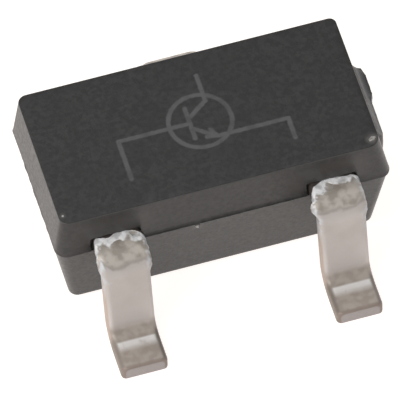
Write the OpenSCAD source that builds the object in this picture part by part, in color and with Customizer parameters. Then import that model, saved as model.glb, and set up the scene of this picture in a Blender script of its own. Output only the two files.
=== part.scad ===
// Small three-lead transistor in a moulded surface-mount package.
// +X runs along the body, +Y points to the single collector lead, +Z is up.
// The origin lies on the solder plane, halfway between the tips of the leads.

/* [Moulded body] */
// Length of the body at the parting line
body_length = 2.95; // [2.80:0.01:3.10]
// Width of the body at the parting line
body_width = 1.43; // [1.36:0.01:1.60]
// Height of the top face above the solder plane
body_top = 1.29; // [1.24:0.01:1.30]
// Gap between the solder plane and the underside of the body
standoff = 0.04; // [0.01:0.01:0.10]
// Height of the upper mould half, from the parting line to the top face
upper_height = 0.45; // [0.42:0.01:0.49]
// How far each end of the top face stands in from the parting line
upper_end_inset = 0.09; // [0.04:0.01:0.12]
// How far each long side of the top face stands in from the parting line
upper_side_inset = 0.03; // [0.02:0.01:0.08]
// How far each end of the underside stands in from the parting line
lower_end_inset = 0.12; // [0.06:0.01:0.16]
// How far each long side of the underside stands in from the parting line
lower_side_inset = 0.12; // [0.04:0.01:0.14]
// How far the upper mould half overhangs the lower one all round
parting_step = 0.012; // [0.004:0.002:0.020]
// Radius of the four upright corners
corner_radius = 0.08; // [0.04:0.01:0.12]
// Clear gap round each lead where it leaves the upper mould half
exit_gap = 0.04; // [0.01:0.01:0.05]
// Depth of that gap behind the parting line
exit_depth = 0.035; // [0.020:0.005:0.050]

/* [Gate mark] */
// Length of the broken-off gate along the right end
gate_length = 0.76; // [0.40:0.02:0.90]
// Height of the broken-off gate above the parting line
gate_height = 0.21; // [0.10:0.01:0.24]
// How far the broken-off gate stands out from the parting line
gate_depth = 0.045; // [0.020:0.005:0.060]
// How far the middle of the gate lies toward the front
gate_shift = 0.06; // [0:0.01:0.15]

/* [Leads] */
// Distance between the middles of the two front leads
lead_pitch = 1.90; // [1.80:0.01:2.00]
// Width of each lead
lead_width = 0.41; // [0.35:0.01:0.48]
// Thickness of the lead metal
lead_thickness = 0.14; // [0.10:0.01:0.17]
// Distance over the tips of the front and rear leads
lead_span = 3.00; // [2.90:0.01:3.10]
// Flat stretch of the lead between the body and its upper bend
shoulder_run = 0.10; // [0.06:0.01:0.18]
// Inside radius of the upper bend
upper_bend_radius = 0.08; // [0.04:0.01:0.12]
// Inside radius of the lower bend
lower_bend_radius = 0.11; // [0.06:0.01:0.14]
// Steepness of the leg in degrees
leg_angle = 82; // [78:1:88]
// Extra width that the trimmed dam bar leaves on each edge of the shoulder
stub_width = 0.025; // [0.010:0.005:0.040]
// How far round the upper bend that extra width runs in degrees
stub_turn = 45; // [20:5:60]
// Radius of the corners of the lead's tip
tip_radius = 0.05; // [0.02:0.01:0.08]

/* [Lead frame inside the body] */
// Size of the die pad along the body
pad_length = 1.04; // [0.90:0.01:1.10]
// Size of the die pad across the body
pad_width = 0.70; // [0.60:0.01:0.76]
// Gap between the die pad and each bond post
post_gap = 0.17; // [0.12:0.01:0.22]
// Width of each bond post
post_width = 0.52; // [0.46:0.01:0.56]
// Size of each bond post across the body
post_length = 0.36; // [0.28:0.01:0.42]
// Diameter of the locking hole and the half-round notches in the leads
lock_diameter = 0.12; // [0.08:0.01:0.14]
// Plastic between the outside wall and the locking hole and notches
lock_cover = 0.06; // [0.04:0.01:0.08]

/* [Chip and wires] */
// Side of the square silicon chip
die_size = 0.36; // [0.28:0.01:0.44]
// Height of the wires' highest point above the chip, which is ground down to leave this room
loop_height = 0.075; // [0.065:0.005:0.085]
// Plastic left between the wires' highest point and the top face
wire_cover = 0.10; // [0.08:0.01:0.12]
// Thickness of the silver epoxy under the chip
attach_thickness = 0.015; // [0.010:0.005:0.025]
// How far the silver epoxy shows round the chip
attach_margin = 0.03; // [0.01:0.01:0.05]
// Distance from the middle of the chip to each bonding ball
ball_offset = 0.09; // [0.07:0.01:0.10]
// Diameter of the squashed bonding ball
ball_diameter = 0.08; // [0.06:0.01:0.10]
// Height of the squashed bonding ball
ball_height = 0.02; // [0.015:0.005:0.030]
// Diameter of the bond wire
wire_diameter = 0.03; // [0.020:0.005:0.034]
// Radius of the wire's first bend above the ball
wire_bend_radius = 0.03; // [0.025:0.005:0.035]
// Length of the wire's flattened stitch on the post
stitch_length = 0.08; // [0.06:0.01:0.10]
// Thickness of the flattened stitch
stitch_thickness = 0.012; // [0.008:0.002:0.016]

/* [Hidden] */
$fn = 48;
plastic_black = [0.22, 0.215, 0.215];
tin = [0.72, 0.69, 0.66];
silicon = [0.32, 0.34, 0.42];
silver_epoxy = [0.62, 0.62, 0.60];
gold = [0.90, 0.70, 0.30];
far = 4;
// Distance from a corner's axis to its two faces, as a share of the corner's radius
corner_ratio = 0.985;
// Diameter of the knuckles at the ends of the wire's bend, as a share of the wire's
knuckle_ratio = 1.04;

parting_height = body_top - upper_height;
lower_height = parting_height - standoff;
frame_top = parting_height + lead_thickness;
half_width = body_width / 2;
lead_x = lead_pitch / 2;
tip_reach = lead_span / 2;

bend_start = half_width + shoulder_run;
bend_rise = (upper_bend_radius + lower_bend_radius + lead_thickness) * (1 - cos(leg_angle));
leg_length = (parting_height - bend_rise) / sin(leg_angle);
bend_run = (upper_bend_radius + lead_thickness + lower_bend_radius) * sin(leg_angle);
foot_length = tip_reach - bend_start - bend_run - leg_length * cos(leg_angle);

lock_y = half_width - lock_cover - lock_diameter / 2;
// Metal between a locking hole or notch and the wider part of the lead behind it
lock_land = 0.05;
inner_start = lock_y - lock_diameter / 2 - lock_land;
pad_y = inner_start - pad_width / 2;
post_x = pad_length / 2 + post_gap + post_width / 2;
post_y = -(inner_start - post_length / 2);

wire_top = body_top - wire_cover;
bend_z = wire_top - wire_diameter / 2 - wire_bend_radius;
die_top = wire_top - loop_height;
die_bottom = frame_top + attach_thickness;
// How far inward of the middle of the post the wire lands
stitch_inset = 0.06;
stitch_x = post_x - stitch_inset;

// A block with leaning sides and rounded upright corners; its sides run on down by root below z = 0
module leaning_block(length, width, height, end_inset, side_inset, radius, root) {
  end_angle = atan(end_inset / height);
  side_angle = atan(side_inset / height);
  difference() {
    translate([-far / 2, -far / 2, -root]) cube([far, far, height + root]);
    for (side = [0, 1]) {
      mirror([side, 0, 0])
        translate([length / 2, 0, 0]) rotate([0, -end_angle, 0])
          translate([0, -far, -far]) cube([far, 2 * far, 2 * far]);
      mirror([0, side, 0])
        translate([0, width / 2, 0]) rotate([side_angle, 0, 0])
          translate([-far, 0, -far]) cube([2 * far, far, 2 * far]);
    }
    for (side = [0, 1], face = [0, 1])
      mirror([side, 0, 0]) mirror([0, face, 0])
        translate([length / 2, width / 2, 0])
          corner_cutter(end_angle, side_angle, radius, height);
  }
}

// What is cut from a sharp leaning corner to leave a cylinder that runs into both faces
module corner_cutter(end_angle, side_angle, radius, height) {
  slope_x = -tan(end_angle);
  slope_y = -tan(side_angle);
  azimuth = atan2(slope_y, slope_x);
  tilt = atan(norm([slope_x, slope_y]));
  across = [cos(tilt) * cos(azimuth), cos(tilt) * sin(azimuth), -sin(tilt)];
  along = [-sin(azimuth), cos(azimuth), 0];
  end_normal = [cos(end_angle), 0, sin(end_angle)];
  side_normal = [0, cos(side_angle), sin(side_angle)];
  end_side = [end_normal * across, end_normal * along];
  long_side = [side_normal * across, side_normal * along];
  centre = -corner_ratio * radius * (end_side + long_side) / (1 + end_side * long_side);
  reach = 4 * radius;
  rotate([0, tilt, azimuth]) translate([0, 0, -height])
    linear_extrude(3 * height) difference() {
      polygon([centre, centre + reach * end_side,
               centre + reach * (end_side + long_side), centre + reach * long_side]);
      translate(centre) circle(radius);
    }
}

// The two mould halves, the gate mark and the gaps round the leads, before the inserts are taken out
module body_shell() {
  difference() {
    union() {
      translate([0, 0, parting_height])
        leaning_block(body_length, body_width, upper_height,
                      upper_end_inset, upper_side_inset, corner_radius, 0);
      translate([0, 0, parting_height]) mirror([0, 0, 1])
        leaning_block(body_length - 2 * parting_step, body_width - 2 * parting_step, lower_height,
                      lower_end_inset, lower_side_inset, corner_radius, parting_step);
      gate_mark();
    }
    for (x = [-lead_x, lead_x]) exit_recess(x, -1);
    exit_recess(0, 1);
  }
}

// The rough stub left where the runner was broken off the right end
module gate_mark() {
  stub_x = body_length / 2 + gate_depth;
  root_x = body_length / 2 - 2 * upper_end_inset;
  front = -gate_shift - gate_length / 2;
  back = -gate_shift + gate_length / 2;
  middle = front + 0.53 * gate_length;
  bottom = parting_height + parting_step;
  intersection() {
    translate([0, 0, bottom]) linear_extrude(gate_height)
      polygon([[root_x, front], [stub_x - 0.65 * gate_depth, front], [stub_x - 0.55 * gate_depth, middle],
               [stub_x, middle + 0.09 * gate_length], [stub_x, back - 0.1 * gate_length],
               [stub_x - 0.4 * gate_depth, back], [root_x, back]]);
    translate([0, back, bottom]) rotate([90, 0, 0]) linear_extrude(gate_length)
      polygon([[root_x, 0], [stub_x, 0], [stub_x, 0.88 * gate_height],
               [stub_x - 0.3 * gate_depth, gate_height], [root_x, gate_height]]);
  }
}

// The small recess that the upper mould half leaves round a lead
module exit_recess(x, way) {
  width = lead_width + 2 * exit_gap;
  floor_y = half_width - exit_depth;
  translate([x, way * (floor_y + far / 2), parting_height + (lead_thickness + exit_gap) / 2])
    cube([width, far, lead_thickness + exit_gap], center = true);
}

// A bend of the lead about the origin: a flat ring from straight up to turn degrees clockwise
module bend(inner, turn) {
  outer = inner + lead_thickness;
  difference() {
    circle(outer);
    circle(inner);
    translate([-far, -far / 2]) square([far, far]);
    rotate(-turn) translate([0, -far / 2]) square([far, far]);
  }
}

// Side view of a lead from inside the body to its tip, x outward and y up
module lead_side(inner_end) {
  translate([bend_start, parting_height - upper_bend_radius]) {
    translate([inner_end - bend_start, upper_bend_radius])
      square([bend_start - inner_end, lead_thickness]);
    bend(upper_bend_radius, leg_angle);
    rotate(-leg_angle) {
      translate([0, upper_bend_radius]) square([leg_length, lead_thickness]);
      translate([leg_length, upper_bend_radius + lead_thickness + lower_bend_radius])
        mirror([0, 1]) {
          bend(lower_bend_radius, leg_angle);
          rotate(-leg_angle) translate([0, lower_bend_radius])
            square([foot_length, lead_thickness]);
        }
    }
  }
}

// Side view of the wider stretch that the dam bar leaves, from the body part of the way round the bend
module stub_side() {
  translate([bend_start, parting_height - upper_bend_radius]) {
    translate([-shoulder_run, upper_bend_radius]) square([shoulder_run, lead_thickness]);
    bend(upper_bend_radius, stub_turn);
  }
}

// What is cut from a lead's tip to round its two corners
module tip_corners() {
  for (edge = [0, 1]) mirror([edge, 0, 0])
    translate([lead_width / 2 - corner_ratio * tip_radius, tip_reach - corner_ratio * tip_radius,
               -lead_thickness])
      linear_extrude(3 * lead_thickness) difference() {
        square(2 * tip_radius);
        circle(tip_radius);
      }
}

// A strip of metal with the given side view, centred on x = 0
module strip(width) {
  rotate([90, 0, 90]) translate([0, 0, -width / 2]) linear_extrude(width) children();
}

// A bent lead that points to +Y
module bent_lead(inner_end) {
  difference() {
    strip(lead_width) lead_side(inner_end);
    tip_corners();
  }
  strip(lead_width + 2 * stub_width) stub_side();
}

// A front lead with its bond post; side is -1 on the left and 1 on the right
module front_lead(side) {
  difference() {
    union() {
      translate([side * lead_x, 0, 0]) rotate(180) bent_lead(-post_y);
      translate([side * post_x - post_width / 2, post_y - post_length / 2, parting_height])
        cube([post_width, post_length, lead_thickness]);
    }
    for (edge = [-1, 1])
      translate([side * lead_x + edge * lead_width / 2, -lock_y, parting_height - lead_thickness])
        cylinder(h = 3 * lead_thickness, d = lock_diameter);
  }
}

// The rear lead, which widens into the pad that carries the chip
module rear_lead() {
  difference() {
    union() {
      bent_lead(pad_y);
      translate([-pad_length / 2, pad_y - pad_width / 2, parting_height])
        cube([pad_length, pad_width, lead_thickness]);
    }
    translate([0, lock_y, parting_height - lead_thickness])
      cylinder(h = 3 * lead_thickness, d = lock_diameter);
  }
}

// The square silicon chip
module chip() {
  translate([-die_size / 2, pad_y - die_size / 2, die_bottom])
    cube([die_size, die_size, die_top - die_bottom]);
}

// The layer of silver-filled epoxy between the chip and its pad
module attach_layer() {
  side = die_size + 2 * attach_margin;
  translate([-side / 2, pad_y - side / 2, frame_top]) cube([side, side, attach_thickness]);
}

// A bond wire from a ball on the chip to a flattened stitch on a post
module bond_wire(side) {
  $fn = 24;
  wire_radius = wire_diameter / 2;
  ball = [side * ball_offset, pad_y];
  stitch = [side * stitch_x, post_y];
  run = norm(stitch - ball);
  heading = atan2(stitch[1] - ball[1], stitch[0] - ball[0]);
  drop = bend_z - frame_top - wire_radius;
  slant = norm([run - wire_bend_radius, drop]);
  fall = 90 + atan2(drop, run - wire_bend_radius) - acos(wire_bend_radius / slant);
  straight = sqrt(slant * slant - wire_bend_radius * wire_bend_radius);
  translate([ball[0], ball[1], 0]) rotate(heading) {
    translate([0, 0, die_top]) cylinder(h = ball_height, d = ball_diameter);
    translate([0, 0, die_top + ball_height / 2])
      cylinder(h = bend_z - die_top - ball_height / 2, d = wire_diameter);
    translate([wire_bend_radius, 0, bend_z]) rotate([90, 0, 0]) rotate(90 - fall) {
      rotate_extrude(angle = 90 + fall) translate([wire_bend_radius, 0]) circle(wire_radius);
      for (turn = [0, 90 + fall]) rotate(turn) translate([wire_bend_radius, 0, 0])
        sphere(d = knuckle_ratio * wire_diameter);
    }
    translate([run, 0, frame_top + wire_radius]) rotate([0, fall - 90, 0])
      cylinder(h = straight, d = wire_diameter);
    translate([run - wire_radius, -wire_diameter, frame_top])
      cube([stitch_length, 2 * wire_diameter, stitch_thickness]);
  }
}

module mould_body() {
  color(plastic_black) difference() {
    body_shell();
    rear_lead();
    front_lead(-1);
    front_lead(1);
    attach_layer();
    chip();
    bond_wire(-1);
    bond_wire(1);
  }
}

module collector_lead() {
  color(tin) rear_lead();
}

module base_lead() {
  color(tin) front_lead(-1);
}

module emitter_lead() {
  color(tin) front_lead(1);
}

module transistor_die() {
  color(silicon) chip();
}

module die_attach() {
  color(silver_epoxy) attach_layer();
}

module base_bond_wire() {
  color(gold) bond_wire(-1);
}

module emitter_bond_wire() {
  color(gold) bond_wire(1);
}

mould_body();
collector_lead();
base_lead();
emitter_lead();
transistor_die();
die_attach();
base_bond_wire();
emitter_bond_wire();
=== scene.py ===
import math

import bmesh
import bpy
import numpy as np
from mathutils import Matrix, Vector, noise


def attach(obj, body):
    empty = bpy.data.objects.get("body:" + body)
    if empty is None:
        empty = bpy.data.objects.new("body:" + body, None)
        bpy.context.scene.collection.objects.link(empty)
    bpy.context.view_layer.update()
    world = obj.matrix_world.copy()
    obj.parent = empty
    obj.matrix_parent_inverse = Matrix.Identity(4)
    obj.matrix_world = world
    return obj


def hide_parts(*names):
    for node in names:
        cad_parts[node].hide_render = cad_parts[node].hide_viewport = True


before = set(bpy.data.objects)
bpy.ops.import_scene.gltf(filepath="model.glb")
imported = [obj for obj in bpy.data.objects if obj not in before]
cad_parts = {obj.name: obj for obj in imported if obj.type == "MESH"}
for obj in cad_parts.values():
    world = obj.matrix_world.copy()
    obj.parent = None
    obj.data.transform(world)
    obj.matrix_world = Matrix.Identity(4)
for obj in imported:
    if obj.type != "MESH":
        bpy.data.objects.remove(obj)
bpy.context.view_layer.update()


# Collector lead: the single lead on the far side, stamped from thin copper strip together with the pad
# that carries the chip, tin plated, and bent down and outward once the plastic has been moulded.
# The pad and the hole that locks it lie inside the moulding. All sizes are in millimetres.
MM = 0.001
body_top = 1.29
parting_height = 0.84
half_body_width = 0.715
lead_width = 0.41
lead_thickness = 0.14
shoulder_run = 0.10
upper_bend_radius = 0.08
lower_bend_radius = 0.11
leg_angle = math.radians(82)
heel_radius = 0.40
heel_angle = math.radians(14)
lead_reach = 1.50
tip_radius = 0.05
tip_edge = 0.02
lock_radius = 0.06
lock_y = half_body_width - 0.12
inner_start = lock_y - lock_radius - 0.05
neck_end = half_body_width - 0.075
pad_half_length = 0.52
pad_width = 0.70
rolled_edge = 0.045
cut_edge = 0.012
top_strips = 14
station_step = 0.012
bend_start = half_body_width + shoulder_run
plain_ripple = 0.0012
shoulder_ripple = 0.0035
ripple_middle = 0.08
ripple_reach = 0.20
film_dies_out = (0.15, 0.35)


def spaced(start, end, step):
    """Even places from start to end, no further apart than step."""
    count = max(1, math.ceil(abs(end - start) / step))
    return [start + (end - start) * i / count for i in range(count + 1)]


def go_straight(path, length, step=station_step):
    """Carries the path on along its slope; each of its places is (out, up, slope)."""
    y, z, slope = path[-1]
    path += [(y + s * math.cos(slope), z - s * math.sin(slope), slope) for s in spaced(0, length, step)[1:]]


def go_round(path, radius, start, end):
    """Carries the path on round a bend from one slope to another."""
    y, z = path[-1][:2]
    path += [(y + radius * abs(math.sin(a) - math.sin(start)),
              z - radius * abs(math.cos(a) - math.cos(start)), a)
             for a in spaced(start, end, math.radians(4))[1:]]


def lead_stations():
    """Places along the middle of the metal from the plastic to the tip: (out, up, slope, distance)."""
    middle = lead_thickness / 2
    upper = upper_bend_radius + middle
    lower = lower_bend_radius + middle
    heel = heel_radius + middle
    drop = upper * (1 - math.cos(leg_angle)) + heel * (1 - math.cos(heel_angle))
    drop += lower * (math.cos(heel_angle) - math.cos(leg_angle))
    path = [(neck_end, parting_height + middle, 0.0)]
    go_straight(path, bend_start - neck_end)
    go_round(path, upper, 0, leg_angle)
    go_straight(path, (parting_height - drop) / math.sin(leg_angle))
    go_round(path, lower, leg_angle, heel_angle)
    go_round(path, heel, heel_angle, 0)
    go_straight(path, lead_reach - tip_radius - path[-1][0])
    go_straight(path, tip_radius - tip_edge, 0.006)
    go_straight(path, tip_edge, 0.003)
    stations = []
    distance = neck_end - half_body_width
    for i, (y, z, slope) in enumerate(path):
        if i:
            distance += math.dist((y, z), path[i - 1][:2])
        stations.append((y, z, slope, distance))
    return stations


def rounded(left, radius):
    """How far a rounded corner stands in where there is this much left before its end."""
    gone = max(0.0, radius - left)
    return radius - math.sqrt(max(0.0, radius ** 2 - gone ** 2))


def lead_section(half_width, half_depth):
    """Cross-section of the metal: its (across, outward) points, and the first and last of each corner."""
    points = []
    corners = []
    for start, side_x, side_n, radius, steps in ((-90, 1, -1, cut_edge, 3), (0, 1, 1, rolled_edge, 6),
                                                 (90, -1, 1, rolled_edge, 6), (180, -1, -1, cut_edge, 3)):
        first = len(points)
        for i in range(steps + 1):
            angle = math.radians(start + 90 * i / steps)
            points.append((side_x * (half_width - radius) + radius * math.cos(angle),
                           side_n * (half_depth - radius) + radius * math.sin(angle)))
        corners.append((first, len(points) - 1))
        if start == 0:
            across = half_width - radius
            points += [(across * (1 - 2 * i / top_strips), half_depth) for i in range(1, top_strips)]
    return points, corners


def stub_reach(distance, side, seed, stub):
    """How far the trimmed dam bar still stands out from one edge of the metal, in mm.
    The stub holds its width and the distances from the plastic between which it runs."""
    width, start, end = stub
    share = np.interp(distance, (start - 0.02, start, end, end + 0.06), (0, 1, 1, 0))
    torn = noise.noise(Vector((distance * 38, side * 5, seed * 3)))
    return width * share * (0.90 + 0.25 * torn)


def unevenness(across, outward, distance, seed):
    """How far the plated skin stands off the true section, in mm: a little, and more on the shoulder."""
    place = Vector((across * 9 + seed * 3, outward * 9, distance * 7))
    skin = plain_ripple * noise.noise(place)
    if outward > 0:
        on_shoulder = max(0.0, 1 - abs(distance - ripple_middle) / ripple_reach)
        skin += shoulder_ripple * on_shoulder * noise.noise(place * 2.6)
        skin += shoulder_ripple * on_shoulder * noise.noise(place * 5.0)
    return skin


def stamped_outline(half_width, start, notched):
    """Plan of the flat inner part as (across, out) points, anticlockwise, with its locking notches."""
    neck = lead_width / 2
    points = [(-half_width, start), (half_width, start), (half_width, inner_start), (neck, inner_start)]
    if notched:
        points += [(neck + lock_radius * math.cos(a), lock_y + lock_radius * math.sin(a))
                   for a in spaced(1.5 * math.pi, 0.5 * math.pi, math.radians(15))]
    points.append((neck, neck_end))
    return points + [(-x, y) for x, y in reversed(points[2:])]


def stamped_part(mesh, half_width, start, notched):
    """The flat part inside the plastic, open at its neck; returns the four corners of the opening."""
    hole = []
    if not notched:
        hole = [(lock_radius * math.cos(a), lock_y + lock_radius * math.sin(a))
                for a in spaced(0, 2 * math.pi, math.radians(15))[:-1]]
    rims = ([], [])
    for loop in (stamped_outline(half_width, start, notched), hole):
        below = [mesh.verts.new((x, y, parting_height)) for x, y in loop]
        above = [mesh.verts.new((x, y, parting_height + lead_thickness)) for x, y in loop]
        for i in range(len(loop)):
            j = (i + 1) % len(loop)
            wall = (below[i], below[j], above[j], above[i])
            if loop[i][1] == neck_end and loop[j][1] == neck_end:
                opening = wall
            else:
                mesh.faces.new(wall)
        for rim, verts in zip(rims, (below, above)):
            rim += [(verts[i], verts[(i + 1) % len(verts)]) for i in range(len(verts))]
    for rim in rims:
        edges = [mesh.edges.get(pair) or mesh.edges.new(pair) for pair in rim]
        bmesh.ops.triangle_fill(mesh, edges=edges, use_beauty=True)
    return opening


def close_neck(mesh, opening, ring, corners):
    """Faces between the square opening of the stamped part and the first ring of the strip."""
    by_height = sorted(opening, key=lambda vert: vert.co.z)
    low_left, low_right = sorted(by_height[:2], key=lambda vert: vert.co.x)
    high_left, high_right = sorted(by_height[2:], key=lambda vert: vert.co.x)
    order = (low_right, high_right, high_left, low_left)
    for k, corner in enumerate(order):
        first, last = corners[k]
        for i in range(first, last):
            mesh.faces.new((corner, ring[i], ring[i + 1]))
        stretch = ring[last:corners[k + 1][0] + 1] if k < 3 else [ring[-1], ring[0]]
        mesh.faces.new([corner] + stretch + [order[(k + 1) % 4]])


def build_lead(name, half_width, start, notched, way, shift, bare_from, stubs):
    """A whole lead: the flat stamped part inside the plastic, and the bent strip outside it.
    bare_from holds (across, distance) pairs: where the film of plastic left on the shoulder ends.
    stubs holds the width, start and end of the dam bar's stub on each edge."""
    mesh = bmesh.new()
    opening = stamped_part(mesh, half_width, start, notched)
    layer = mesh.loops.layers.uv.new("along_lead")
    rings = []
    marks = {}
    for y, z, slope, distance in lead_stations():
        left = lead_reach - y if slope == 0 and z < lead_thickness else lead_reach
        half_depth = lead_thickness / 2 - rounded(left, tip_edge)
        points, corners = lead_section(lead_width / 2 - rounded(left, tip_radius), half_depth)
        ring = []
        for across, outward in points:
            share = across / (lead_width / 2)
            stub = stubs[1] if across > 0 else stubs[0]
            wide = across + share * stub_reach(distance, math.copysign(1, across), shift, stub)
            n = outward + unevenness(across, outward, distance, shift)
            vert = mesh.verts.new((wide, y + n * math.sin(slope), z + n * math.cos(slope)))
            film = np.interp(across, *zip(*bare_from)) * np.interp(distance, film_dies_out, (1, 0))
            marks[vert] = (share, distance - film)
            ring.append(vert)
        rings.append(ring)
    for first, second in zip(rings, rings[1:]):
        for i in range(len(first)):
            j = (i + 1) % len(first)
            mesh.faces.new((first[i], first[j], second[j], second[i]))
    mesh.faces.new(rings[-1])
    close_neck(mesh, opening, rings[0], corners)
    bmesh.ops.recalc_face_normals(mesh, faces=mesh.faces)
    for face in mesh.faces:
        for corner in face.loops:
            corner[layer].uv = marks.get(corner.vert, (0.0, -0.1))
    turn = Matrix.Rotation(math.pi, 4, "Z") if way < 0 else Matrix.Identity(4)
    mesh.transform(Matrix.Scale(MM, 4) @ Matrix.Translation((shift, 0, 0)) @ turn)
    return finish_piece(name, mesh)


def finish_piece(name, mesh, smooth_angle=35):
    """Turns the mesh into an object at the origin with smooth shading and sharp creases."""
    data = bpy.data.meshes.new(name)
    mesh.to_mesh(data)
    mesh.free()
    data.shade_smooth()
    data.set_sharp_from_angle(angle=math.radians(smooth_angle))
    piece = bpy.data.objects.new(name, data)
    bpy.context.scene.collection.objects.link(piece)
    return piece


def add_node(tree, kind, inputs=(), **settings):
    """A shader node with its settings and its inputs, each a value or another node's output."""
    node = tree.nodes.new("ShaderNode" + kind)
    for key, value in settings.items():
        setattr(node, key, value)
    for key, value in dict(inputs).items():
        if isinstance(value, bpy.types.NodeSocket):
            tree.links.new(value, node.inputs[key])
        else:
            node.inputs[key].default_value = value
    return node


def mix_colours(tree, factor, first, second):
    """A colour between first and second."""
    node = add_node(tree, "Mix", {"Factor": factor}, data_type="RGBA")
    for socket, value in ((node.inputs[6], first), (node.inputs[7], second)):
        if isinstance(value, bpy.types.NodeSocket):
            tree.links.new(value, socket)
        else:
            socket.default_value = (*value, 1.0)
    return node.outputs[2]


def fade(tree, value, start, end, low=0.0, high=1.0):
    """A smooth step from low to high while value goes from start to end."""
    node = add_node(tree, "MapRange", {"Value": value, "From Min": start, "From Max": end,
                                       "To Min": low, "To Max": high}, interpolation_type="SMOOTHSTEP")
    return node.outputs["Result"]


def grain(tree, place, scale, detail=3.0, rough=0.5):
    """Fine noise, scale features to the millimetre."""
    node = add_node(tree, "TexNoise", {"Vector": place, "Scale": scale, "Detail": detail,
                                       "Roughness": rough})
    return node.outputs["Fac"]


def place_in_mm(tree):
    """The point on the surface in the part's own frame, in millimetres."""
    point = add_node(tree, "TexCoord").outputs["Object"]
    scaled = add_node(tree, "VectorMath", {0: point}, operation="SCALE")
    scaled.inputs["Scale"].default_value = 1 / MM
    return scaled.outputs["Vector"]


def new_material(name, roughness, metallic=0.0):
    """An empty material with its shader, ready for its own nodes."""
    material = bpy.data.materials.new(name)
    material.use_nodes = True
    tree = material.node_tree
    shader = tree.nodes["Principled BSDF"]
    shader.inputs["Roughness"].default_value = roughness
    shader.inputs["Metallic"].default_value = metallic
    return material, tree, shader


def calculate(tree, operation, first, second, third=None):
    """The result of one sum on values or outputs."""
    inputs = {0: first, 1: second}
    if third is not None:
        inputs[2] = third
    return add_node(tree, "Math", inputs, operation=operation).outputs[0]


tip_distance = lead_stations()[-1][3]
heel_start = 1.10

# Stretches along the metal, in mm from the plastic, over which one finish, or one stretch of painted light
# or shade, gives way to the next.
film_ends = (0.004, 0.010)
residue_dims = (0.06, 0.18)
residue_by_plastic = (0.215, 0.265)
residue_on_rim = (0.20, 0.55)
shoulder_ends = (0.235, 0.285)
crease_shade_starts = (0.250, 0.266)
crease_shade_ends = (0.266, 0.285)
sides_redden = (0.40, 0.60)
leg_painted_paler = (0.45, 0.80)
foot_painted_darker = (0.84, 0.97)
foot_side_reflection_starts = (heel_start - 0.10, heel_start)
heel_highlight_rises = (heel_start, heel_start + 0.025)
heel_highlight_fades = (heel_start + 0.055, heel_start + 0.140)
toe_darkens = (tip_distance - 0.050, tip_distance - 0.015)
cut_face_starts = (tip_distance - 0.005, tip_distance - 0.001)


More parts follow.
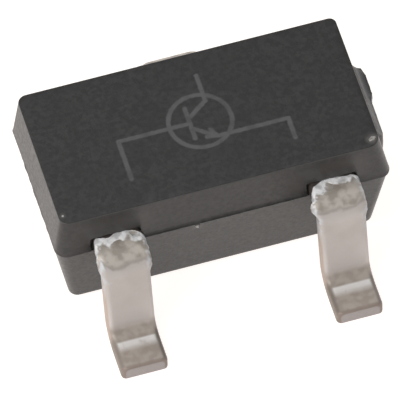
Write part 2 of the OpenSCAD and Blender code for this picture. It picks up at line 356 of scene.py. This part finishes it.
def tin_plating():
    """Matt tin over copper: plain on the leg, blotched on the shoulder. Lumps of pale, patchy residue line
    the shoulder, and a film of black plastic is left beside the body. Light and shade are painted on it
    too: the leg paler towards the lower bend, a highlight along the heel, a dark line in the shoulder's
    crease, and shade on the shoulder, on the foot and along the foot's edges."""
    material, tree, shader = new_material("tin_plating", 0.45)
    place = place_in_mm(tree)
    along = add_node(tree, "SeparateXYZ", {0: add_node(tree, "UVMap", uv_map="along_lead").outputs[0]})
    edge = calculate(tree, "ABSOLUTE", along.outputs["X"], 0.0)
    distance = along.outputs["Y"]
    blotch = grain(tree, place, 11.0, 2.5)
    cloud = grain(tree, place, 4.0, 2.0)
    fine = grain(tree, place, 60.0, 2.0)
    spots = grain(tree, place, 13.0, 1.5)
    patches = grain(tree, place, 15.0, 1.0)

    plain = mix_colours(tree, fade(tree, cloud, 0.35, 0.65), (0.528, 0.484, 0.460), (0.568, 0.524, 0.500))
    # The leg is painted paler towards the lower bend: painted light against the shade of the foot it
    # reflects there.
    plain = mix_colours(tree, fade(tree, distance, *leg_painted_paler), plain, (0.640, 0.588, 0.564))
    # The foot is painted darker, in random spots: painted shade for the dimmer light its top takes.
    shaded_foot = mix_colours(tree, fade(tree, spots, 0.35, 0.65), (0.370, 0.323, 0.285), (0.443, 0.393, 0.350))
    plain = mix_colours(tree, fade(tree, distance, *foot_painted_darker), plain, shaded_foot)

    # The shoulder's tin is blotched at random, and is painted darker out to a curved line: painted shade
    # for the dark reflection on the bend.
    ragged = calculate(tree, "MULTIPLY_ADD", blotch, 0.05, distance)
    curved = calculate(tree, "MULTIPLY_ADD", calculate(tree, "POWER", edge, 2.0), 0.06, ragged)
    on_shoulder = fade(tree, curved, *shoulder_ends, 1.0, 0.0)
    blotched_and_shaded = mix_colours(tree, fade(tree, blotch, 0.34, 0.62),
                          (0.350, 0.316, 0.276), (0.525, 0.484, 0.437))
    colour = mix_colours(tree, on_shoulder, plain, blotched_and_shaded)
    # A dark line is painted along the shoulder's crease, where it meets the plain tin: painted shade.
    painted_crease_shade = calculate(tree, "MULTIPLY", fade(tree, curved, *crease_shade_starts),
                          fade(tree, curved, *crease_shade_ends, 1.0, 0.0))
    colour = mix_colours(tree, calculate(tree, "MULTIPLY", painted_crease_shade, 0.4), colour, (0.255, 0.221, 0.194))

    # A pale band is painted across the heel, where the bend meets the foot: a painted highlight.
    on_heel = calculate(tree, "MULTIPLY", fade(tree, distance, *heel_highlight_rises),
                        fade(tree, distance, *heel_highlight_fades, 1.0, 0.0))
    on_heel = calculate(tree, "MULTIPLY", on_heel, fade(tree, edge, 0.74, 0.90, 1.0, 0.0))
    painted_heel_highlight = calculate(tree, "MULTIPLY", on_heel, fade(tree, blotch, 0.25, 0.50, 0.65, 1.0))
    colour = mix_colours(tree, painted_heel_highlight, colour, (0.88, 0.86, 0.84))

    on_side = calculate(tree, "MULTIPLY", fade(tree, edge, 0.93, 1.0), fade(tree, distance, *sides_redden))
    colour = mix_colours(tree, on_side, colour, (0.51, 0.41, 0.345))
    # The foot's sides and rolled edges are painted dark: a painted reflection of the black body.
    painted_side_reflection = calculate(tree, "MULTIPLY", fade(tree, edge, 0.76, 0.92),
                          fade(tree, distance, *foot_side_reflection_starts, 0.0, 0.85))
    colour = mix_colours(tree, painted_side_reflection, colour, (0.235, 0.200, 0.176))
    colour = mix_colours(tree, fade(tree, distance, *toe_darkens, 0.0, 0.9), colour, (0.28, 0.226, 0.195))
    colour = mix_colours(tree, fade(tree, distance, *cut_face_starts), colour, (0.40, 0.36, 0.352))

    on_rim = fade(tree, calculate(tree, "MULTIPLY_ADD", spots, 0.9, edge), 1.28, 1.50)
    on_rim = calculate(tree, "MULTIPLY", on_rim, fade(tree, distance, *residue_on_rim, 1.0, 0.0))
    by_plastic = fade(tree, calculate(tree, "MULTIPLY_ADD", spots, 0.34, distance),
                      *residue_by_plastic, 1.0, 0.0)
    residue = calculate(tree, "MAXIMUM", on_rim, by_plastic)
    pale = mix_colours(tree, fade(tree, patches, 0.36, 0.60), (0.64, 0.64, 0.65), (0.98, 0.99, 1.0))
    pale = mix_colours(tree, fade(tree, distance, *residue_dims), pale, (0.60, 0.61, 0.63))
    colour = mix_colours(tree, residue, colour, pale)
    film = fade(tree, calculate(tree, "MULTIPLY_ADD", blotch, 0.03, distance), *film_ends, 1.0, 0.0)
    colour = mix_colours(tree, film, colour, (0.056, 0.047, 0.043))
    tree.links.new(colour, shader.inputs["Base Color"])

    covered = calculate(tree, "MAXIMUM", film, calculate(tree, "MULTIPLY", residue, 0.8))
    uncovered = calculate(tree, "SUBTRACT", 1.0, covered)
    bare = fade(tree, on_heel, 0.0, 1.0, 0.32, 0.85)
    tree.links.new(calculate(tree, "MULTIPLY", bare, uncovered), shader.inputs["Metallic"])
    dull = fade(tree, on_heel, 0.0, 1.0, 0.50, 0.36)
    dull = calculate(tree, "MULTIPLY_ADD", residue, -0.10, dull)
    dull = calculate(tree, "ADD", dull, fade(tree, fine, 0.3, 0.7, -0.05, 0.05))
    tree.links.new(dull, shader.inputs["Roughness"])
    height = calculate(tree, "MULTIPLY_ADD", blotch, on_shoulder, calculate(tree, "MULTIPLY", fine, 0.10))
    lumps = calculate(tree, "MULTIPLY_ADD", grain(tree, place, 30.0, 1.0), 2.2, 0.8)
    height = calculate(tree, "MULTIPLY_ADD", residue, lumps, height)
    bump = add_node(tree, "Bump", {"Strength": 1.0, "Distance": 0.0025 * MM, "Height": height})
    tree.links.new(bump.outputs[0], shader.inputs["Normal"])
    return material


tin = tin_plating()
rear_film = ((-0.21, 0.02), (0.0, 0.0), (0.21, 0.03))
rear_stub = (0.075, 0.0, 0.20)
collector_lead = build_lead("collector_lead_plated", pad_half_length, inner_start - pad_width, False,
                            1, 0.0, rear_film, (rear_stub, rear_stub))
collector_lead.data.materials.append(tin)
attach(collector_lead, "root")
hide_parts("collector_lead")


# Base and emitter leads: two like leads on the near side, from the same strip and bent in the same tool.
# Inside the plastic each widens into a post for its wire, with a half-round notch on each edge of the neck.
# On each shoulder the film of plastic ends along its own ragged line, and the dam bar left its own stubs.
lead_pitch = 1.90
post_half_width = 0.26
post_length = 0.36
base_film = ((-0.23, 0.13), (-0.21, 0.09), (-0.18, 0.03), (-0.13, -0.015), (-0.02, -0.035),
             (0.03, -0.02), (0.08, 0.005), (0.185, -0.02), (0.20, 0.0), (0.212, 0.08), (0.235, 0.14))
emitter_film = ((-0.23, 0.08), (-0.22, 0.0), (-0.165, -0.012), (-0.11, -0.004), (0.01, -0.035),
                (0.07, -0.027), (0.13, 0.0), (0.185, 0.03), (0.22, 0.09))
base_stubs = ((0.030, 0.0, 0.26), (0.016, 0.12, 0.26))
emitter_stubs = ((0.026, 0.0, 0.26), (0.038, 0.14, 0.20))

for name, side, film, stubs in (("base_lead", -1, base_film, base_stubs),
                                ("emitter_lead", 1, emitter_film, emitter_stubs)):
    lead = build_lead(name + "_plated", post_half_width, inner_start - post_length, True, -1,
                      side * lead_pitch / 2, film, stubs)
    lead.data.materials.append(tin)
    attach(lead, "root")
    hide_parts(name)


# Silver epoxy: a thin layer of filled glue that holds the chip to its pad and carries the current.
# It is dull, pale grey and a little uneven where it has squeezed out round the chip.
def dress(node, material):
    """Gives a node of the construction model its finish."""
    for material_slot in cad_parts[node].material_slots:
        material_slot.material = material


def silver_glue():
    """Pale grey glue with bright flakes in it."""
    material, tree, shader = new_material("silver_epoxy", 0.5, 0.6)
    flakes = grain(tree, place_in_mm(tree), 90.0, 2.0, 0.7)
    colour = mix_colours(tree, fade(tree, flakes, 0.45, 0.60), (0.30, 0.30, 0.29), (0.66, 0.66, 0.64))
    tree.links.new(colour, shader.inputs["Base Color"])
    return material


dress("die_attach", silver_glue())


# Chip: a small square of silicon, sawn from a polished wafer and glued to the pad of the collector lead.
# Its face carries fine metal lines and takes the balls of the two wires.
def silicon_chip():
    """Blue-grey silicon with a faint pattern of fine lines."""
    material, tree, shader = new_material("silicon", 0.22)
    place = place_in_mm(tree)
    lines = add_node(tree, "TexBrick", {"Vector": place, "Scale": 9.0, "Mortar Size": 0.03,
                                        "Color1": (0.10, 0.12, 0.17, 1), "Color2": (0.13, 0.14, 0.19, 1),
                                        "Mortar": (0.45, 0.44, 0.40, 1)})
    tree.links.new(lines.outputs["Color"], shader.inputs["Base Color"])
    return material


dress("transistor_die", silicon_chip())


# Bond wires: two fine drawn gold wires, each with a squashed ball on the chip and a flat stitch on its
# post. Heat and ultrasound join them, and leave the tone of the gold a little uneven.
def gold_wire():
    """Drawn gold of a slightly uneven tone."""
    material, tree, shader = new_material("gold_wire", 0.25, 1.0)
    tone = grain(tree, place_in_mm(tree), 70.0, 2.0)
    colour = mix_colours(tree, fade(tree, tone, 0.3, 0.7), (0.78, 0.50, 0.16), (0.90, 0.66, 0.28))
    tree.links.new(colour, shader.inputs["Base Color"])
    return material


gold = gold_wire()
dress("base_bond_wire", gold)
dress("emitter_bond_wire", gold)


# Moulded body: black epoxy filled with ground silica, moulded round the lead frame in a two-part steel
# tool. Both halves lean in from the parting line, the upper one overhangs by a hair, each lead has a small
# recess round it, and the right end keeps the stub where the runner was broken off.
half_body_length = 1.475
standoff = 0.04
upper_end_inset = 0.069
upper_side_inset = 0.022
top_shift = (-0.012, 0.008)
lower_end_inset = 0.12
lower_side_inset = 0.12
parting_step = 0.012
flash_height = 0.030
end_flash_depth = 0.006
side_flash_depth = 0.020
corner_heights = (standoff, parting_height, body_top)
corner_radii = ((0.08, 0.09, 0.11), (0.08, 0.08, 0.06), (0.06, 0.05, 0.08), (0.08, 0.11, 0.08))
exit_gap = 0.019
exit_depth = 0.036
rim_steps = (0.0, 0.006, 0.012, 0.018, 0.027)
gate_front = -0.44
gate_back = 0.32
gate_bottom = parting_height + parting_step
gate_height = 0.23
gate_shelf = 0.15
gate_slope = 0.17
gate_depth = 0.055
gate_depth_shares = ((0, 0.06, 0.53, 0.62, 0.9, 1), (0.0, 0.35, 0.45, 1, 1, 0.6))
gate_slope_foot = 0.004
gate_slope_end = -0.045
shelf_brokenness = 0.3
top_edge = 0.007
bottom_edge = 0.020
line_edge = 0.004
face_insets = (0.05, 0.10)
lower_step = 0.03
upper_step = 0.016
column_step = 0.02
level_gap = 0.002
column_gap = 0.003
least_radius = 0.004
flash_dies_out = (0.95, 1.32)
flash_tear = 0.004


def level_size(z, upper):
    """Half length and half width of the body's outline at height z, without the rolled edges."""
    if upper:
        heights = (0, flash_height, body_top - parting_height)
        up = z - parting_height
        return (half_body_length - np.interp(up, heights, (0, end_flash_depth, upper_end_inset)),
                half_body_width - np.interp(up, heights, (0, side_flash_depth, upper_side_inset)))
    share = (parting_height - z) / (parting_height - standoff)
    return (half_body_length - parting_step - lower_end_inset * share,
            half_body_width - parting_step - lower_side_inset * share)


def body_levels():
    """Levels of the skin from below up: (height, half length, half width, corner radii, in upper half)."""
    levels = []

    def add(z, upper, inset=0.0):
        length, width = level_size(z, upper)
        radii = [max(least_radius, np.interp(z, corner_heights, row) - inset) for row in corner_radii]
        levels.append((z, length - inset, width - inset, radii, upper))

    for inset in reversed(face_insets):
        add(standoff, False, inset)
    for a in spaced(0, math.pi / 2, math.radians(15)):
        add(standoff + bottom_edge * (1 - math.cos(a)), False, bottom_edge * (1 - math.sin(a)))
    for z in spaced(standoff + bottom_edge, parting_height - line_edge, lower_step)[1:]:
        add(z, False)
    add(parting_height, False, line_edge)
    add(parting_height, True, line_edge)
    add(parting_height + line_edge, True)
    metal_top = parting_height + lead_thickness
    gate_top = gate_bottom + gate_height
    marks = sorted([parting_height + line_edge, gate_bottom, gate_bottom + 2 * level_gap,
                    parting_height + flash_height, gate_bottom + gate_shelf, gate_bottom + gate_slope,
                    gate_top - level_gap, gate_top + level_gap, body_top - top_edge]
                   + [metal_top + step for step in rim_steps])
    for low, high in zip(marks, marks[1:]):
        for z in spaced(low, high, upper_step)[1:]:
            add(z, True)
    for a in spaced(0, math.pi / 2, math.radians(15))[1:]:
        add(body_top - top_edge * (1 - math.sin(a)), True, top_edge * (1 - math.cos(a)))
    for inset in face_insets:
        add(body_top, True, inset)
    return levels


def columns_between(end, marks):
    """Places along one side from -end to end, with a close pair at each mark."""
    places = {0.0}
    for mark in marks:
        places |= {mark - column_gap, mark + column_gap}
    stops = sorted(places | {-end, end})
    columns = []
    for low, high in zip(stops, stops[1:]):
        columns += spaced(low, high, column_step)[:-1]
    return columns + [end]


rear_marks = [edge * (lead_width / 2 + step) for edge in (-1, 1) for step in rim_steps]
front_marks = [side * lead_pitch / 2 + mark for side in (-1, 1) for mark in rear_marks]
gate_marks = [gate_front, gate_back]
long_side_end = 1.24
short_side_end = 0.47
corner_steps = 8


def outline(half_length, half_width, radii):
    """One level's outline, anticlockwise from the front left: (x, y, side) points."""
    points = []
    sides = (("front", columns_between(long_side_end, front_marks)),
             ("right", columns_between(short_side_end, gate_marks)),
             ("back", columns_between(long_side_end, rear_marks)),
             ("left", columns_between(short_side_end, [])))
    for k, (side, columns) in enumerate(sides):
        for place in columns:
            x, y = {"front": (place, -half_width), "right": (half_length, place),
                    "back": (-place, half_width), "left": (-half_length, -place)}[side]
            points.append((x, y, side))
        radius = radii[k]
        centre = ((1, -1), (1, 1), (-1, 1), (-1, -1))[k]
        centre = (centre[0] * (half_length - radius), centre[1] * (half_width - radius))
        for i in range(corner_steps + 1):
            angle = math.radians(-90 + 90 * (k + i / corner_steps))
            points.append((centre[0] + radius * math.cos(angle), centre[1] + radius * math.sin(angle),
                           "corner"))
    return points


def gate_reach(y, z):
    """How far the broken stub stands out from the parting line at a place on the right end, in mm.
    Its depth changes along it, and its top slopes down from the wall to a narrow shelf."""
    share = (y - gate_front) / (gate_back - gate_front)
    plan = gate_depth * np.interp(share, *gate_depth_shares)
    profile = np.interp(z - gate_bottom, (0, gate_shelf, gate_slope, gate_height),
                        (gate_depth, gate_depth, gate_slope_foot, gate_slope_end))
    torn = 0.12 * noise.noise(Vector((y * 14, z * 22, 0.4)))
    torn += 0.08 * noise.noise(Vector((y * 45, z * 50, 7)))
    return min(plan * (0.95 + torn), profile + 0.03 * torn)


def brokenness(x, z):
    """How pale the broken skin is: fully on the broken slope of the gate stub, less on its shelf."""
    on_end = x > half_body_length - 0.03
    up = z - gate_bottom
    if not on_end or not gate_shelf - level_gap < up < gate_height:
        return 0.0
    return 1.0 if up > gate_slope - 2 * level_gap else shelf_brokenness


def recess_share(x, z, lead_x):
    """How deep in a lead's recess a place on the wall lies, from 0 outside it to 1; its rim is uneven."""
    across = max(0.0, abs(x - lead_x) - lead_width / 2)
    above = max(0.0, z - parting_height - lead_thickness)
    rim = exit_gap * (0.85 + 0.7 * noise.noise(Vector((x * 24, z * 24, 2.7))))
    share = min(1.0, math.hypot(across, above) / rim)
    return 1 - share * share * (3 - 2 * share)


def flash_fade(x, z):
    """How far the long walls come forward again toward the ends, where the ridge of flash dies out."""
    up = z - parting_height
    height = body_top - parting_height
    ridged = np.interp(up, (0, flash_height, height), (0, side_flash_depth, upper_side_inset))
    return (ridged - upper_side_inset * up / height) * np.interp(abs(x), flash_dies_out, (0, 0.9))


def skin_point(x, y, z, side, upper):
    """Moves a point of the plain outline into a lead's recess, out onto the gate stub, or with the flash.
    Returns its x and y, and how deep in a recess it lies."""
    if not upper:
        return x, y, 0.0
    leads = {"front": (-lead_pitch / 2, lead_pitch / 2), "back": (0.0,)}.get(side, ())
    deepest = max([recess_share(x, z, lead_x) for lead_x in leads], default=0.0)
    if deepest > 0:
        return x, y - math.copysign(exit_depth * deepest, y), deepest
    up = (z - parting_height) / (body_top - parting_height)
    x += top_shift[0] * up
    y += top_shift[1] * up + math.copysign(flash_fade(x, z), y)
    if side == "right" and gate_front < y < gate_back and gate_bottom < z < gate_bottom + gate_height:
        return max(x, half_body_length + gate_reach(y, z)), y, 0.0
    if z < parting_height + 0.6 * flash_height:
        torn = 1 + flash_tear * noise.noise(Vector((x * 16, y * 16, 3.1)))
        return x * torn, y * torn, 0.0
    return x, y, 0.0


# Crumbs of resin left on the skin, each as its place and radius.
crumbs = ((-0.239, -0.698, 0.797, 0.020), (1.318, -0.612, 1.284, 0.016), (1.338, -0.603, 1.287, 0.021),
          (1.356, -0.598, 1.283, 0.013), (-1.380, -0.592, 1.287, 0.010))


def add_crumb(mesh, x, y, z, radius):
    """A small broken crumb of resin stuck to the skin."""
    made = bmesh.ops.create_icosphere(mesh, subdivisions=2, radius=radius)
    for vert in made["verts"]:
        size = 0.80 + 0.8 * noise.noise(vert.co * 60 + Vector((x, y, z)) * 9)
        vert.co = vert.co * size + Vector((x, y, z))


def build_body(name):
    """The moulding's outer skin as one closed mesh, with its crumbs."""
    mesh = bmesh.new()
    layer = mesh.loops.layers.uv.new("recess_and_break")
    rings = []
    recessed = {}
    for z, half_length, half_width, radii, upper in body_levels():
        ring = []
        for x, y, side in outline(half_length, half_width, radii):
            x, y, depth = skin_point(x, y, z, side, upper)
            ring.append(mesh.verts.new((x, y, z)))
            recessed[ring[-1]] = depth
        rings.append(ring)
    for first, second in zip(rings, rings[1:]):
        for i in range(len(first)):
            j = (i + 1) % len(first)
            mesh.faces.new((first[i], first[j], second[j], second[i]))
    mesh.faces.new(reversed(rings[0]))
    mesh.faces.new(rings[-1])
    for face in mesh.faces:
        for corner in face.loops:
            vert = corner.vert
            corner[layer].uv = (recessed[vert], brokenness(vert.co.x, vert.co.z))
    bmesh.ops.remove_doubles(mesh, verts=mesh.verts, dist=1e-6)
    for crumb in crumbs:
        add_crumb(mesh, *crumb)
    bmesh.ops.recalc_face_normals(mesh, faces=mesh.faces)
    mesh.transform(Matrix.Scale(MM, 4))
    return finish_piece(name, mesh, smooth_angle=40)


# The mark is written on the body's top face by laser: the circuit symbol of an npn transistor, whose three
# lines each point to their own lead. The laser leaves the plastic paler and duller, with soft uneven edges.
mark_half_stroke = 0.021
mark_circle = ((0.0, 0.0), 0.27)
bar_x = -0.09
elbow_x = 0.10
base_line_x = -0.72
emitter_line_x = 0.72
emitter_line_y = -0.19
front_line_end = -0.40
arrow_tip = (0.095, -0.186)
mark_strokes = (((bar_x, -0.16), (bar_x, 0.16)),
                ((base_line_x, 0.0), (bar_x, 0.0)), ((base_line_x, 0.0), (base_line_x, front_line_end)),
                ((bar_x, 0.05), (elbow_x, 0.19)), ((elbow_x, 0.19), (elbow_x, 0.46)),
                ((bar_x, -0.05), (elbow_x, emitter_line_y)),
                ((elbow_x, emitter_line_y), (emitter_line_x, emitter_line_y)),
                ((emitter_line_x, emitter_line_y), (emitter_line_x, front_line_end)),
                (arrow_tip, (0.011, -0.174)), (arrow_tip, (0.058, -0.109)))


def stroke_distance(tree, flat, start, end):
    """How far a point on the top face lies from one stroke, in mm."""
    start = Vector((*start, 0.0))
    run = Vector((*end, 0.0)) - start
    from_start = add_node(tree, "VectorMath", {0: flat, 1: start}, operation="SUBTRACT").outputs["Vector"]
    share = add_node(tree, "VectorMath", {0: from_start, 1: run / run.length_squared},
                     operation="DOT_PRODUCT")
    share = add_node(tree, "Clamp", {"Value": share.outputs["Value"]}).outputs["Result"]
    nearest = add_node(tree, "VectorMath", {0: run, "Scale": share}, operation="SCALE").outputs["Vector"]
    return add_node(tree, "VectorMath", {0: from_start, 1: nearest}, operation="DISTANCE").outputs["Value"]


def laser_mark(tree, place):
    """1 where the laser has been and 0 elsewhere."""
    flat = add_node(tree, "VectorMath", {0: place, 1: (1, 1, 0)}, operation="MULTIPLY").outputs["Vector"]
    centre, radius = mark_circle
    from_centre = add_node(tree, "VectorMath", {0: flat, 1: (*centre, 0.0)}, operation="DISTANCE")
    from_circle = calculate(tree, "SUBTRACT", from_centre.outputs["Value"], radius)
    nearest = calculate(tree, "ABSOLUTE", from_circle, 0.0)
    for start, end in mark_strokes:
        nearest = calculate(tree, "MINIMUM", nearest, stroke_distance(tree, flat, start, end))
    nearest = calculate(tree, "MULTIPLY_ADD", grain(tree, place, 30.0, 2.0), 0.012, nearest)
    burnt = fade(tree, nearest, mark_half_stroke - 0.004, mark_half_stroke + 0.014, 1.0, 0.0)
    burnt = calculate(tree, "MULTIPLY", burnt, fade(tree, grain(tree, place, 7.0, 2.0), 0.3, 0.6, 0.6, 1.0))
    height = add_node(tree, "SeparateXYZ", {0: place}).outputs["Z"]
    return calculate(tree, "MULTIPLY", burnt, fade(tree, height, body_top - 0.008, body_top - 0.004))


# Stretches of a paler patch painted on the front wall above each front lead: painted light against the dark
# reflection of the leads there.
wall_light_across = (0.16, 0.42)
wall_light_outward = (-0.69, -0.67)
wall_light_from = (0.90, 0.98)
wall_light_to = (1.13, 1.27)
# Heights of a paler line painted along the rounded top edge: a painted highlight.
edge_highlight_from = (body_top - 0.010, body_top - 0.006)
edge_highlight_to = (body_top - 0.002, body_top - 0.0002)


def painted_wall_light(tree, point):
    """1 where the front wall above each front lead is painted paler, as painted light, and 0 elsewhere."""
    from_middle = calculate(tree, "ABSOLUTE", point.outputs["X"], 0.0)
    from_lead = calculate(tree, "ABSOLUTE", calculate(tree, "SUBTRACT", from_middle, lead_pitch / 2), 0.0)
    paler_share = fade(tree, from_lead, *wall_light_across, 1.0, 0.0)
    paler_share = calculate(tree, "MULTIPLY", paler_share, fade(tree, point.outputs["Y"], *wall_light_outward, 1.0, 0.0))
    paler_share = calculate(tree, "MULTIPLY", paler_share, fade(tree, point.outputs["Z"], *wall_light_to, 1.0, 0.0))
    return calculate(tree, "MULTIPLY", paler_share, fade(tree, point.outputs["Z"], *wall_light_from))


def black_epoxy():
    """Dull charcoal plastic, mottled and finely pitted. It is paler round the crumbs, on the broken stub
    and under the
    laser mark. Light is painted on it too: paler on the front wall above each front lead, along the top
    edge and in the recesses."""
    material, tree, shader = new_material("black_epoxy", 0.55)
    place = place_in_mm(tree)
    point = add_node(tree, "SeparateXYZ", {0: place})
    sand = grain(tree, place, 34.0, 3.0, 0.6)
    cloud = grain(tree, place, 5.0)
    specks = grain(tree, place, 22.0, 2.0)
    pits = grain(tree, place, 55.0, 2.0)

    colour = mix_colours(tree, fade(tree, specks, 0.33, 0.67),
                         (0.0052, 0.0044, 0.0042), (0.0205, 0.0188, 0.0185))
    colour = mix_colours(tree, fade(tree, cloud, 0.35, 0.65, 0.0, 0.45), colour, (0.0042, 0.0038, 0.0038))
    # Painted light: the front wall above each front lead is painted paler.
    colour = mix_colours(tree, painted_wall_light(tree, point), colour, (0.040, 0.037, 0.0355))
    # A paler line is painted along the rounded top edge: a painted highlight.
    painted_edge_highlight = calculate(tree, "MULTIPLY", fade(tree, point.outputs["Z"], *edge_highlight_from),
                          fade(tree, point.outputs["Z"], *edge_highlight_to, 1.0, 0.0))
    colour = mix_colours(tree, painted_edge_highlight, colour, (0.046, 0.044, 0.043))
    mark = laser_mark(tree, place)
    colour = mix_colours(tree, mark, colour, (0.090, 0.090, 0.094))
    dust = (0.41, 0.395, 0.373)
    for x, y, z, radius in crumbs:
        from_crumb = add_node(tree, "VectorMath", {0: place, 1: (x, y, z)}, operation="DISTANCE")
        ragged = calculate(tree, "MULTIPLY_ADD", sand, 0.6 * radius, from_crumb.outputs["Value"])
        colour = mix_colours(tree, fade(tree, ragged, 1.4 * radius, 4.0 * radius, 0.09, 0.0), colour, dust)
        colour = mix_colours(tree, fade(tree, ragged, 1.15 * radius, 1.45 * radius, 1.0, 0.0), colour, dust)
    moulded = add_node(tree, "UVMap", uv_map="recess_and_break").outputs[0]
    moulded = add_node(tree, "SeparateXYZ", {0: moulded})
    recessed = moulded.outputs["X"]
    broken = moulded.outputs["Y"]
    # The recesses are painted paler: painted light against the shade in them.
    colour = mix_colours(tree, recessed, colour, (0.175, 0.162, 0.154))
    colour = mix_colours(tree, broken, colour, (0.115, 0.115, 0.118))
    tree.links.new(colour, shader.inputs["Base Color"])

    dull = fade(tree, sand, 0.3, 0.7, 0.31, 0.41)
    dull = calculate(tree, "MULTIPLY_ADD", mark, 0.25, dull)
    dull = calculate(tree, "MULTIPLY_ADD", recessed, 0.3, dull)
    tree.links.new(dull, shader.inputs["Roughness"])
    bump = add_node(tree, "Bump", {"Strength": 0.5, "Distance": 0.002 * MM, "Height": pits})
    tree.links.new(bump.outputs[0], shader.inputs["Normal"])
    return material


body = build_body("mould_body_skin")
body.data.materials.append(black_epoxy())
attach(body, "root")
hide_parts("mould_body")


# Table and light: a pale table under the part, a soft box on each side, one overhead and one high at the
# front left. Table and room look white to the eye and in reflections, and the table keeps a faint shadow.
table_half = 60.0
lamp_aim = Vector((0, 0, 0.7))


def looked_at(tree):
    """1 for what the eye sees, also in a reflection or through glass, and 0 for light on the part."""
    path = add_node(tree, "LightPath")
    seen = calculate(tree, "MAXIMUM", path.outputs["Is Camera Ray"], path.outputs["Is Glossy Ray"])
    return calculate(tree, "MAXIMUM", seen, path.outputs["Is Transmission Ray"])


def white_table():
    """A pale table top that reads as white but still takes a shadow."""
    material = bpy.data.materials.new("white_table")
    material.use_nodes = True
    tree = material.node_tree
    tree.nodes.clear()
    paper = add_node(tree, "BsdfDiffuse", {"Color": (0.83, 0.81, 0.79, 1)})
    shaded = add_node(tree, "BsdfDiffuse", {"Color": (0.365, 0.336, 0.321, 1)})
    glow = add_node(tree, "Emission", {"Color": (0.95, 0.905, 0.875, 1), "Strength": 1.0})
    lit = add_node(tree, "AddShader", {0: shaded.outputs[0], 1: glow.outputs[0]})
    both = add_node(tree, "MixShader", {0: looked_at(tree), 1: paper.outputs[0], 2: lit.outputs[0]})
    result = add_node(tree, "OutputMaterial")
    tree.links.new(both.outputs[0], result.inputs["Surface"])
    return material


table_mesh = bmesh.new()
bmesh.ops.create_grid(table_mesh, x_segments=2, y_segments=2, size=table_half * MM)
table = finish_piece("table", table_mesh)
table.data.materials.append(white_table())


def soft_box(name, azimuth, elevation, size, distance, strength, tint=(1.0, 1.0, 1.0)):
    """A square lamp of even brightness that faces the part; azimuth 0 is in front and 90 on the right."""
    lamp = bpy.data.lights.new(name, "AREA")
    lamp.shape = "SQUARE"
    lamp.color = tint
    lamp.size = size * MM
    lamp.energy = strength * math.pi * (size * MM) ** 2
    box = bpy.data.objects.new(name, lamp)
    a, e = math.radians(azimuth), math.radians(elevation)
    toward = Vector((math.sin(a) * math.cos(e), -math.cos(a) * math.cos(e), math.sin(e)))
    box.location = (lamp_aim + toward * distance) * MM
    box.rotation_euler = toward.to_track_quat("Z", "Y").to_euler()
    bpy.context.scene.collection.objects.link(box)


soft_box("left_box", azimuth=-75, elevation=30, size=26, distance=40, strength=1.7,
         tint=(1.0, 0.92, 0.86))
soft_box("right_box", azimuth=60, elevation=30, size=20, distance=40, strength=0.6)
soft_box("rear_box", azimuth=180, elevation=68, size=16, distance=50, strength=2.1)
soft_box("high_box", azimuth=-60, elevation=50, size=20, distance=45, strength=5.0)


def white_room():
    """White surroundings: full at the horizon, dimmer overhead, and dimmer as light than to the eye."""
    room = bpy.data.worlds.new("surroundings")
    room.use_nodes = True
    tree = room.node_tree
    direction = add_node(tree, "TexCoord").outputs["Generated"]
    height = add_node(tree, "SeparateXYZ", {0: direction}).outputs["Z"]
    slant = add_node(tree, "VectorMath", {0: direction, 1: (-0.15, 0.17, 0.0)}, operation="DOT_PRODUCT")
    ceiling = calculate(tree, "ADD", slant.outputs["Value"], 0.55)
    walls = fade(tree, height, 0.06, 0.30, 1.0, ceiling)
    brightness = add_node(tree, "MapRange", {"Value": looked_at(tree), "To Min": 0.8, "To Max": 1.0})
    background = tree.nodes["Background"]
    background.inputs["Color"].default_value = (1, 1, 1, 1)
    tree.links.new(calculate(tree, "MULTIPLY", walls, brightness.outputs[0]), background.inputs["Strength"])
    return room


bpy.context.scene.world = white_room()
bpy.context.scene.view_settings.view_transform = "Standard"


# Camera: in front of the part, a little to the left and well above, far off with a long lens.
# Its angles and distance come from the photo's straight edges, and so does the slight roll.
photo_side = 400
camera_azimuth = math.radians(14.653)
camera_elevation = math.radians(55.365)
camera_roll = math.radians(-2.17)
camera_distance = 95.93
pixels_per_mm = 117.659
seen_point = Vector((0, 0, 0.6))
seen_pixel = (201.92, 167.57)
sensor = 36.0

lens = bpy.data.cameras.new("photo_lens")
lens.sensor_width = sensor
lens.lens = sensor * pixels_per_mm * camera_distance / photo_side
lens.clip_start = MM
lens.clip_end = 10.0
camera = bpy.data.objects.new("photo_camera", lens)
toward = Vector((-math.sin(camera_azimuth) * math.cos(camera_elevation),
                 -math.cos(camera_azimuth) * math.cos(camera_elevation), math.sin(camera_elevation)))
level = Vector((math.cos(camera_azimuth), -math.sin(camera_azimuth), 0))
upright = toward.cross(level)
right = math.cos(camera_roll) * level + math.sin(camera_roll) * upright
up = -math.sin(camera_roll) * level + math.cos(camera_roll) * upright
middle = photo_side / 2
aim = seen_point + right * (middle - seen_pixel[0]) / pixels_per_mm
aim -= up * (middle - seen_pixel[1]) / pixels_per_mm
camera.matrix_world = Matrix.Translation((aim + toward * camera_distance) * MM) @ Matrix(
    (right, up, toward)).transposed().to_4x4()
bpy.context.scene.collection.objects.link(camera)
bpy.context.scene.camera = camera
